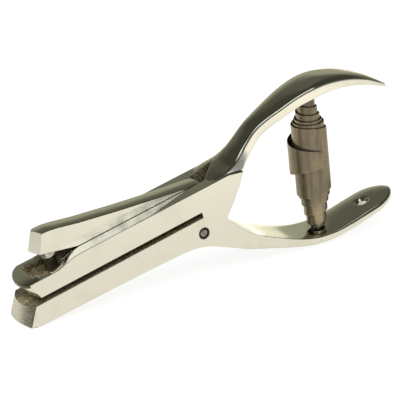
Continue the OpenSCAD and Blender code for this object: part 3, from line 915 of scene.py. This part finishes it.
class PUNCH_OT_frame_forging(bpy.types.Operator):
    """Makes the frame: both jaws, the cheeks and the upper handle, in one forging."""

    bl_idname = "punch.frame_forging"
    bl_label = "Make frame forging"

    def execute(self, context):
        sizes = context.scene.punch_sizes
        half = sizes.body_width / 2
        slot = sizes.arm_width / 2 + sizes.arm_gap
        outline = frame_outline()
        on_knuckle = np.abs(np.hypot(outline[:, 0], outline[:, 1]) - KNUCKLE_R) < 0.001
        jaws = plate("frame_forging", outline, half, sizes.edge_round,
                     np.where(on_knuckle, 0.0, 1.0))
        envelope = block("envelope", (-REACH + NOSE_R, -2 * half, -FAR), (FAR, 2 * half, FAR))
        combine(envelope, [lower_nose(), upper_nose()], "UNION")
        combine(jaws, [envelope], "INTERSECT")
        combine(jaws, [loft("upper_handle", handle_rings(UPPER_HANDLE, 1))], "UNION")
        combine(jaws, self.cutters(sizes.punch_radius, slot), "DIFFERENCE")
        finish_surface(jaws)
        keys = ("nickel", "raw", "pit", "grit", "filed", "rim", "worn")
        finishes(jaws, keys, self.face_groups(jaws, slot))
        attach(jaws, "frame")
        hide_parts("frame")
        return {"FINISHED"}

    def cutters(self, radius, slot):
        """What is cut out of the jaws, the pocket's front edge first."""
        front = plate("front_edge", [
            (-58.6, NOSE_Z + 0.1), (-56.4, NOSE_Z - 1.7), (-56.4, 13.5), (-58.6, 13.5)], 4.6)
        web = plate("web_room", [
            (THROAT_END - 0.8, HIGH), (THROAT_END - 0.8, 0), (PIT_FOOT[0], 1.4), PIT_FOOT,
            PIT_HEAD, (PIT_HEAD[0], HIGH)], slot)
        # the far half of the room ends in a slanted wall, so that its mouth is a triangle
        step = loft("web_step", [np.array([
            (5.8, -slot - 1, z), (17, -slot - 1, z), (17, slot + 1.65, z)]) for z in (5.5, 70)])
        combine(web, [step], "DIFFERENCE")
        room, out, at = BOSS_R + 0.4, 2 * KNUCKLE_R, -PUNCH_X
        return [
            front, web,
            plate("foot_room", [
                (-room, 0), (-room, -out), (out, -out), polar(out, CROTCH_A),
                polar(9.2, CROTCH_A + 1), (0, 2)], slot),
            round_bar("boss_room", (0, -slot, 0), (0, slot, 0), room),
            block("throat", (-FAR, -WIDE, THROAT_Z), (THROAT_END, WIDE, THROAT_TOP)),
            block("channel", (at, -slot, FLOOR_Z), (THROAT_END, slot, HIGH)),
            block("pocket", (POCKET_FRONT, -POCKET_HALF, POCKET_Z),
                  (POCKET_BACK, POCKET_HALF, HIGH)),
            round_bar("bore", (at, 0, THROAT_Z), (at, 0, POCKET_Z + 0.01), radius + 0.03,
                      sides=64),
            round_bar("seat", (at, 0, THROAT_Z - DIE_DEPTH), (at, 0, THROAT_Z + 0.01), DIE_R,
                      sides=64),
            round_bar("drop", (at, 0, -WIDE), (at, 0, THROAT_Z), radius + 0.6, sides=64),
            round_bar("pivot_hole", (0, -WIDE, 0), (0, WIDE, 0), 2.05, sides=64),
        ] + self.bevels(slot)

    def bevels(self, slot):
        """Cutters that break the edges of the pocket and of the channel behind it."""
        line = scoop_line()
        fall = math.tan(math.radians(17.5))
        cutters = []
        for start, end, edge in ((-56.9, -47.7, POCKET_HALF), (-47.3, -43.2, slot)):
            for side in (-1, 1):
                out, inner = side * (edge + 1.1), side * (edge - 0.3)
                rings = []
                for x in np.linspace(start, end, 25):
                    z = float(np.interp(x, line[::-1, 0], line[::-1, 1]))
                    rings.append(np.array([
                        (x, out, z), (x, inner, z - 1.4 * fall), (x, inner, z + 1),
                        (x, out, z + 1)]))
                cutters.append(loft("edge", rings))
        return cutters

    def face_groups(self, jaws, slot):
        """Masks of the faces that aren't plain plate, in the order of their materials."""
        place, facing = plane_points(jaws)
        x, y, z = place.T
        y = np.abs(y)
        nx, ny, nz = facing.T
        throat = (
            (x < THROAT_END + 0.05) & (z > THROAT_Z - 0.01) & (z < THROAT_TOP + 0.01)
            & (np.abs(ny) < 0.5) & ((np.abs(nz) > 0.9) | (x > 0)))
        run, rise = np.subtract(PIT_HEAD, PIT_FOOT)
        end_wall = (x - PIT_FOOT[0]) * rise - (z - PIT_FOOT[1]) * run
        pit = (z > 4) & (x > THROAT_END - 0.82) & (x < PIT_HEAD[0] + 0.02) & (
            ((np.abs(y - slot) < 0.02) & (np.abs(ny) > 0.9))
            | ((np.abs(end_wall) < 0.2) & (nx < -0.5) & (y < slot + 0.02))
            | ((np.abs(nz) < 0.1) & (ny > 0.5) & (nx < -0.3) & (y < slot)))
        pocket = (
            (y < POCKET_HALF + 0.02) & (z > FLOOR_Z - 0.02) & (z < NOSE_Z - 0.02)
            & (x > POCKET_FRONT - 1.6) & (x < POCKET_BACK + 0.1)
            & ((x < POCKET_FRONT + 0.1) | (nz < 0.3) | (z < NOSE_Z - 0.9)))
        channel = (y < slot + 0.02) & (np.abs(z - FLOOR_Z) < 0.02) & (x < THROAT_END)
        leading = (x < -50) & (nx < -0.03) & (np.abs(ny) < 0.995)
        lower_front = leading & (z < THROAT_Z - 0.02) & (np.abs(nz) < 0.75)
        rim = leading & (z > NOSE_Z - 1.02) & (z < NOSE_Z - 0.02) & (np.abs(nz) < 0.2)
        nose_top = (np.abs(z - NOSE_Z) < 0.03) & (nz > 0.98) & (x < -53)
        return throat, pit, pocket | channel, lower_front, rim, nose_top


class PUNCH_OT_lever_forging(bpy.types.Operator):
    """Makes the lever: the arm, its web and the lower handle, in one forging."""

    bl_idname = "punch.lever_forging"
    bl_label = "Make lever forging"

    def execute(self, context):
        sizes = context.scene.punch_sizes
        half = sizes.arm_width / 2
        lever = loft("lever_forging", handle_rings(LOWER_HANDLE, -1))
        combine(lever, [
            round_bar("shoulder", (0, -WIDE, 0), (0, WIDE, 0), KNUCKLE_R + 0.003, sides=720),
            block("top", (-FAR, -WIDE, polar(KNUCKLE_R, FOOT_A)[1]), (FAR, WIDE, HIGH)),
        ], "DIFFERENCE")
        combine(lever, [
            plate("foot", foot_outline(), half),
            round_bar("boss", (0, -half, 0), (0, half, 0), BOSS_R),
            self.crowned_arm(half, sizes.edge_round),
        ], "UNION")
        lean = math.radians(-4)
        combine(lever, [
            round_bar("pivot", (0, -WIDE, 0), (0, WIDE, 0), 2.08, sides=64),
            self.slant((-ARM_REACH, 0, 18.4), 20),
            self.slant((-ARM_REACH - 0.7, 2.3, 18.4), -42),
            block("tongue_slot", (-PUNCH_X - 1.7, -1.2, 0), (-PUNCH_X + 4.6, 1.2, 21.8)),
            turned("lanyard", np.array((LANYARD_AT[0], 0, LANYARD_AT[1])),
                   np.array((math.sin(lean), 0, math.cos(lean))), LANYARD_PATH),
        ], "DIFFERENCE")
        finish_surface(lever)
        place, facing = plane_points(lever)
        x, y, z = place.T
        arm_end = ((x > 4.7) & (x < 9) & (z > 4.5) & (facing[:, 0] > 0.5)
                   & (np.abs(y) < half + 0.01))
        finishes(lever, ("nickel", "pit"), [arm_end])
        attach(lever, "lever")
        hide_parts("lever")
        return {"FINISHED"}

    def crowned_arm(self, half, edge):
        """The arm, with its edges rounded and its top a little higher along the middle."""
        crown = 0.3
        outline = arm_outline()
        # the corners along the arm's top lie above a slanted line
        top = outline[:, 1] > 24.9 - 0.18 * (outline[:, 0] + ARM_REACH + 3)
        rim = rim_rows(half, edge)[1:]
        rows = [(-y, amount) for y, amount in reversed(rim)]
        rows += [(y, 0.0) for y in np.linspace(-1, 1, 25) * (half - edge)] + rim
        rings = []
        for y, amount in rows:
            line = inset(outline, amount)
            line[top, 1] += crown * (0.5 - (y / half) ** 2)
            rings.append(at_width(line, y))
        return loft("arm", rings)

    def slant(self, point, skew):
        """A block whose back face is the slanted plane that the arm's nose is ground to."""
        turn = (Matrix.Rotation(math.radians(skew), 3, "Z")
                @ Matrix.Rotation(math.radians(21), 3, "Y"))
        outline = [(-40, -20), (0, -20), (0, 20), (-40, 20)]
        rings = [np.array([turn @ Vector((x, y, z)) for x, z in outline]) + point
                 for y in (-20, 20)]
        return loft("slant", rings)


class PUNCH_OT_volute_spring(bpy.types.Operator):
    """Winds the volute spring from its one strip."""

    bl_idname = "punch.volute_spring"
    bl_label = "Wind volute spring"

    def execute(self, context):
        length, lean = spring_line()
        verts, faces, pale_edges = self.wind(length / 2)
        c, s = math.cos(lean), math.sin(lean)
        x, y, h = np.array(verts).T
        h = h + length / 2
        strip = solid("volute_spring", np.column_stack((
            SPRING_FOOT[0] + x * c + h * s, y, SPRING_FOOT[1] - x * s + h * c)), faces)
        outward(strip)
        finish_surface(strip, 50)
        # the pale edge steel is a painted highlight along the lower edges, and covers the ends
        finishes(strip, ("spring", "strip_edge"), [np.array(pale_edges)])
        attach(strip, "frame")
        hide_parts("spring")
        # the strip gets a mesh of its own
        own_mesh(strip)
        return {"FINISHED"}

    def wind(self, half):
        """Corners and faces of the strip round its own axis, and which faces take the pale edge
        steel.

        A slit parts the strip into an upper and a lower leg for its first three turns.
        """
        per_turn, corners = 96, 8
        steps = round(SPRING_TURNS * per_turn)
        round_off = 0.06
        legs = ([], [])
        for i in range(steps + 1):
            t = SPRING_TURNS * i / steps
            to_go = SPRING_TURNS - t
            r, a = wind_radius(t), math.radians(POINT_A - 360 * to_go)
            inner = r - STRIP_T
            high, low = ((half - 0.3) * table(to_go, rows) for rows in (TOP_SHARE, LOW_SHARE))
            mid = half * table(to_go, MID_SHARE)
            slit = half * 0.59 * max(0.0, 1 - t / 3)
            for leg, (upper, lower) in enumerate(((high, mid + slit), (mid - slit, low))):
                top = round_off if leg == 0 or slit > 0 else 0
                end = round_off if leg == 1 or slit > 0 else 0
                legs[leg].extend((q * math.cos(a), q * math.sin(a), h) for q, h in (
                    (r, upper - top), (r, lower + 2.4 * end), (r - 1.2 * end, lower),
                    (inner + end, lower), (inner, lower + end), (inner, upper - top),
                    (inner + top, upper), (r - top, upper)))
        faces, pale_edges = [], []
        for leg in range(2):
            first = leg * len(legs[0])
            for i in range(steps):
                for k in range(corners):
                    a = first + corners * i + k
                    b = first + corners * i + (k + 1) % corners
                    faces.append((a, b, b + corners, a + corners))
                    # the lower edges take the pale steel as a painted highlight
                    pale_edges.append(k in (1, 2) and (leg == 1 or i * SPRING_TURNS < 2.9 * steps))
            faces.append(tuple(first + corners - 1 - k for k in range(corners)))
            faces.append(tuple(first + corners * steps + k for k in range(corners)))
            # the strip's two ends take the pale steel too
            pale_edges += [True, True]
        return legs[0] + legs[1], faces, pale_edges


class PUNCH_OT_pivot_pin(bpy.types.Operator):
    """Turns the pivot pin, with a staked ring and a low dome at each end."""

    bl_idname = "punch.pivot_pin"
    bl_label = "Turn pivot pin"

    def execute(self, context):
        half = context.scene.punch_sizes.body_width / 2
        path = [(half - 0.12, 2.045), (half - 0.02, 1.95), (half - 0.02, 1.82),
                (half - 0.2, 1.66), (half - 0.42, 1.6), (half - 0.42, 1.38),
                (half - 0.25, 1.32)]
        path += [(half - 0.2 + 0.2 * math.sin(a), 1.28 * math.cos(a))
                 for a in np.linspace(0.1, math.pi / 2 - 0.02, 9)]
        path = [(-h, r) for h, r in reversed(path)] + path
        pin = turned("pivot_pin_turned", np.zeros(3), np.array((0, 1, 0)), path, 96)
        finish_surface(pin, 40)
        place, _ = plane_points(pin)
        off = np.hypot(place[:, 0], place[:, 2])
        groove = (off > 1.31) & (off < 1.86) & (np.abs(place[:, 1]) > half - 0.6)
        finishes(pin, ("pin", "recess"), [groove])
        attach(pin, "frame")
        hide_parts("pivot_pin")
        return {"FINISHED"}


class PUNCH_OT_punch_and_pin(bpy.types.Operator):
    """Makes the punch, with its tongue, and the cross pin that it hangs on."""

    bl_idname = "punch.punch_and_pin"
    bl_label = "Make punch and cross pin"

    def execute(self, context):
        sizes = context.scene.punch_sizes
        shoulder = 15.4
        shank = round_bar("punch_turned", (-PUNCH_X, 0, 7.5), (-PUNCH_X, 0, shoulder),
                          sizes.punch_radius)
        tongue = plate("tongue", [
            (-51.0, shoulder - 0.1), (-47.5, shoulder - 0.1), (-47.5, 21.2), (-51.0, 21.2)],
            1.0, 0.1)
        # the tongue's slot is cut first, while the tongue is still a body of its own
        combine(tongue, [block("pin_slot", (-52, -3, 18.95), (-48.05, 3, 20.65))], "DIFFERENCE")
        combine(shank, [tongue], "UNION")
        finish_surface(shank, 30)
        place, _ = plane_points(shank)
        finishes(shank, ("tool", "nickel"), [place[:, 2] > shoulder - 0.01])
        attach(shank, "punch")
        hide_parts("punch")
        half = sizes.arm_width / 2 - 0.06
        x, z = CROSS_PIN_AT
        pin = round_bar("cross_pin_turned", (x, -half, z), (x, half, z), 0.68, sides=48)
        finish_surface(pin, 30)
        finishes(pin, ("nickel",))
        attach(pin, "lever")
        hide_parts("cross_pin")
        return {"FINISHED"}


class PUNCH_OT_small_parts(bpy.types.Operator):
    """Makes the die and the two spring pegs."""

    bl_idname = "punch.small_parts"
    bl_label = "Make die and pegs"

    def execute(self, context):
        at = np.array((-PUNCH_X, 0, 0))
        bore = context.scene.punch_sizes.punch_radius + 0.05
        die = round_bar("die_turned", at + (0, 0, THROAT_Z - DIE_DEPTH), at + (0, 0, THROAT_Z),
                        DIE_R)
        combine(die, [round_bar("die_bore", at, at + (0, 0, 9), bore)], "DIFFERENCE")
        finish_surface(die, 30)
        finishes(die, ("tool",))
        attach(die, "frame")
        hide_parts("die")
        length, lean = spring_line()
        up = np.array((math.sin(lean), 0, math.cos(lean)))
        foot = np.array((SPRING_FOOT[0], 0, SPRING_FOOT[1]))
        for name, body, start, way in (
                ("lower_spring_peg", "lever", foot, up),
                ("upper_spring_peg", "frame", foot + up * length, -up)):
            peg = turned(name + "_turned", start, way, PEG_PATH)
            finish_surface(peg, 30)
            finishes(peg, ("tool",))
            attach(peg, body)
            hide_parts(name)
        return {"FINISHED"}


class PUNCH_PT_panel(bpy.types.Panel):
    """Lists the operators that build the punch."""

    bl_idname = "PUNCH_PT_panel"
    bl_label = "Ticket Punch"
    bl_space_type = "VIEW_3D"
    bl_region_type = "UI"
    bl_category = "Ticket Punch"

    def draw(self, context):
        for operator in OPERATORS:
            self.layout.operator(operator.bl_idname)


OPERATORS = (
    PUNCH_OT_stage, PUNCH_OT_frame_forging, PUNCH_OT_lever_forging, PUNCH_OT_volute_spring,
    PUNCH_OT_pivot_pin, PUNCH_OT_punch_and_pin, PUNCH_OT_small_parts,
)
CLASSES = (PunchSizes, PunchFinishes) + OPERATORS + (PUNCH_PT_panel,)


def register():
    """Registers the classes and the settings."""
    for cls in CLASSES:
        bpy.utils.register_class(cls)
    bpy.types.Scene.punch_sizes = bpy.props.PointerProperty(type=PunchSizes)
    bpy.types.Scene.punch_finishes = bpy.props.PointerProperty(type=PunchFinishes)


def unregister():
    """Undoes what register does."""
    del bpy.types.Scene.punch_finishes
    del bpy.types.Scene.punch_sizes
    for cls in reversed(CLASSES):
        bpy.utils.unregister_class(cls)


def main():
    """Builds everything."""
    register()
    make_materials(bpy.context.scene.punch_finishes)
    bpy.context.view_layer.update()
    bpy.ops.punch.stage()
    bpy.ops.punch.frame_forging()
    bpy.ops.punch.lever_forging()
    bpy.ops.punch.volute_spring()
    bpy.ops.punch.pivot_pin()
    bpy.ops.punch.punch_and_pin()
    bpy.ops.punch.small_parts()


if __name__ == "__main__":
    main()
